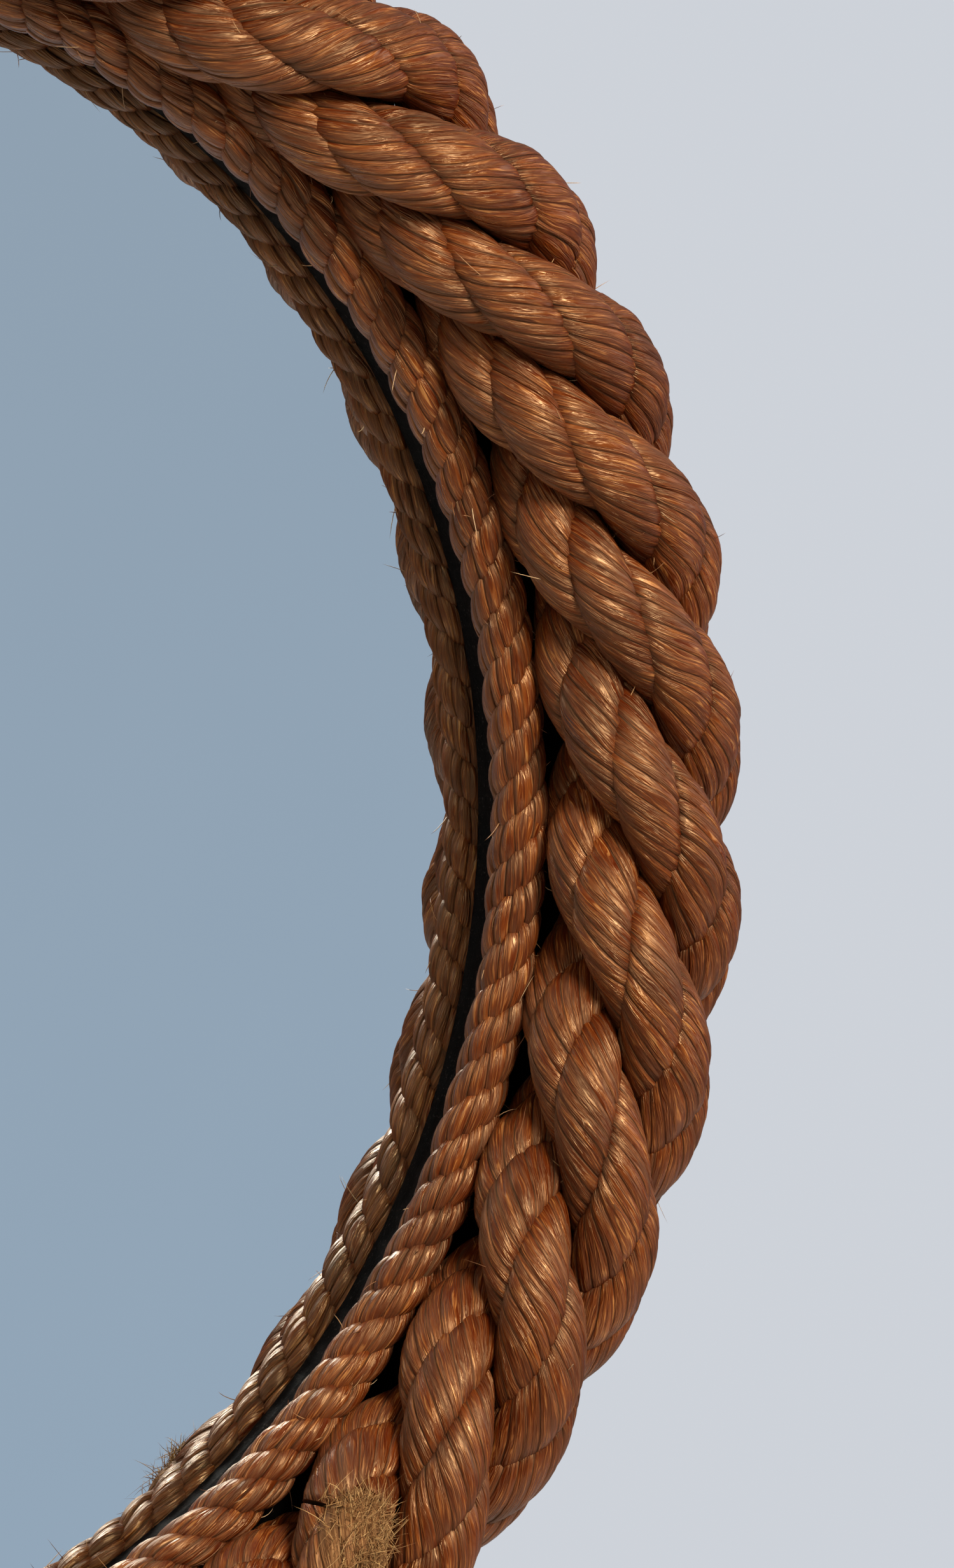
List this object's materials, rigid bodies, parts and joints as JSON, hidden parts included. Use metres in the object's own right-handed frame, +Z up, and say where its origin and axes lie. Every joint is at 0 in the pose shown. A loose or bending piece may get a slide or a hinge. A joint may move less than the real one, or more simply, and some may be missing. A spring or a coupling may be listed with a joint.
{
  "type": "round rope-framed wall mirror",
  "caption": "Round wall mirror on a black board, framed by a thick cable-laid rope wreath with a thinner laid rope inside it, hung by D-rings at the back.",
  "frame": {"origin": "on the wall plane, directly behind the centre of the mirror", "axes": "+Z up and +X right as the mirror hangs and the viewer faces it, -Y out of the wall towards the viewer"},
  "size_m": [0.6003, 0.071, 0.6002],
  "materials": {
    "stained_rope": "stained and varnished manila fibre, silky sheen along the fibres",
    "black_board": "brushed matt black paint on fibreboard",
    "mirror": "clear silvered glass with ground edges",
    "hardboard": "unpainted hardboard",
    "screw_steel": "zinc plated",
    "brass_plate": "brass plated, lightly tarnished",
    "hanger_steel": "nickel plated wire and strap",
    "felt": "dense charcoal felt"
  },
  "bodies": {
    "frame": {"frame_ring": "black_board", "mirror_glass": "mirror", "backing_panel": "hardboard", "wreath_rope_1": "stained_rope", "wreath_rope_2": "stained_rope", "wreath_rope_3": "stained_rope", "inner_rope": "stained_rope", "wreath_screws": "screw_steel", "inner_rope_screws": "screw_steel", "turn_button_screws": "screw_steel", "hanger_screws": "screw_steel", "hanger_plate_left": "hanger_steel", "hanger_plate_right": "hanger_steel", "wall_bumpers": "felt"},
    "button_1": {"turn_button_1": "brass_plate"},
    "button_2": {"turn_button_2": "brass_plate"},
    "button_3": {"turn_button_3": "brass_plate"},
    "button_4": {"turn_button_4": "brass_plate"},
    "button_5": {"turn_button_5": "brass_plate"},
    "button_6": {"turn_button_6": "brass_plate"},
    "ring_left": {"hanger_ring_left": "hanger_steel"},
    "ring_right": {"hanger_ring_right": "hanger_steel"}
  },
  "joints": [
    {"name": "button_1_turn", "type": "hinge", "parent": "frame", "child": "button_1", "pos_m": [0.259, -0.007, 0], "axis": [0, 1, 0], "range_deg": [0, 90]},
    {"name": "button_2_turn", "type": "hinge", "parent": "frame", "child": "button_2", "pos_m": [0.1295, -0.007, 0.2243], "axis": [0, 1, 0], "range_deg": [0, 90]},
    {"name": "button_3_turn", "type": "hinge", "parent": "frame", "child": "button_3", "pos_m": [-0.1295, -0.007, 0.2243], "axis": [0, 1, 0], "range_deg": [0, 90]},
    {"name": "button_4_turn", "type": "hinge", "parent": "frame", "child": "button_4", "pos_m": [-0.259, -0.007, 0], "axis": [0, 1, 0], "range_deg": [0, 90]},
    {"name": "button_5_turn", "type": "hinge", "parent": "frame", "child": "button_5", "pos_m": [-0.1295, -0.007, -0.2243], "axis": [0, 1, 0], "range_deg": [0, 90]},
    {"name": "button_6_turn", "type": "hinge", "parent": "frame", "child": "button_6", "pos_m": [0.1295, -0.007, -0.2243], "axis": [0, 1, 0], "range_deg": [0, 90]},
    {"name": "ring_left_swing", "type": "hinge", "parent": "frame", "child": "ring_left", "pos_m": [-0.23236, -0.0038, 0.14518], "axis": [1, 0, 0], "range_deg": [0, 180]},
    {"name": "ring_right_swing", "type": "hinge", "parent": "frame", "child": "ring_right", "pos_m": [0.23236, -0.0038, 0.14518], "axis": [1, 0, 0], "range_deg": [0, 180]}
  ]
}
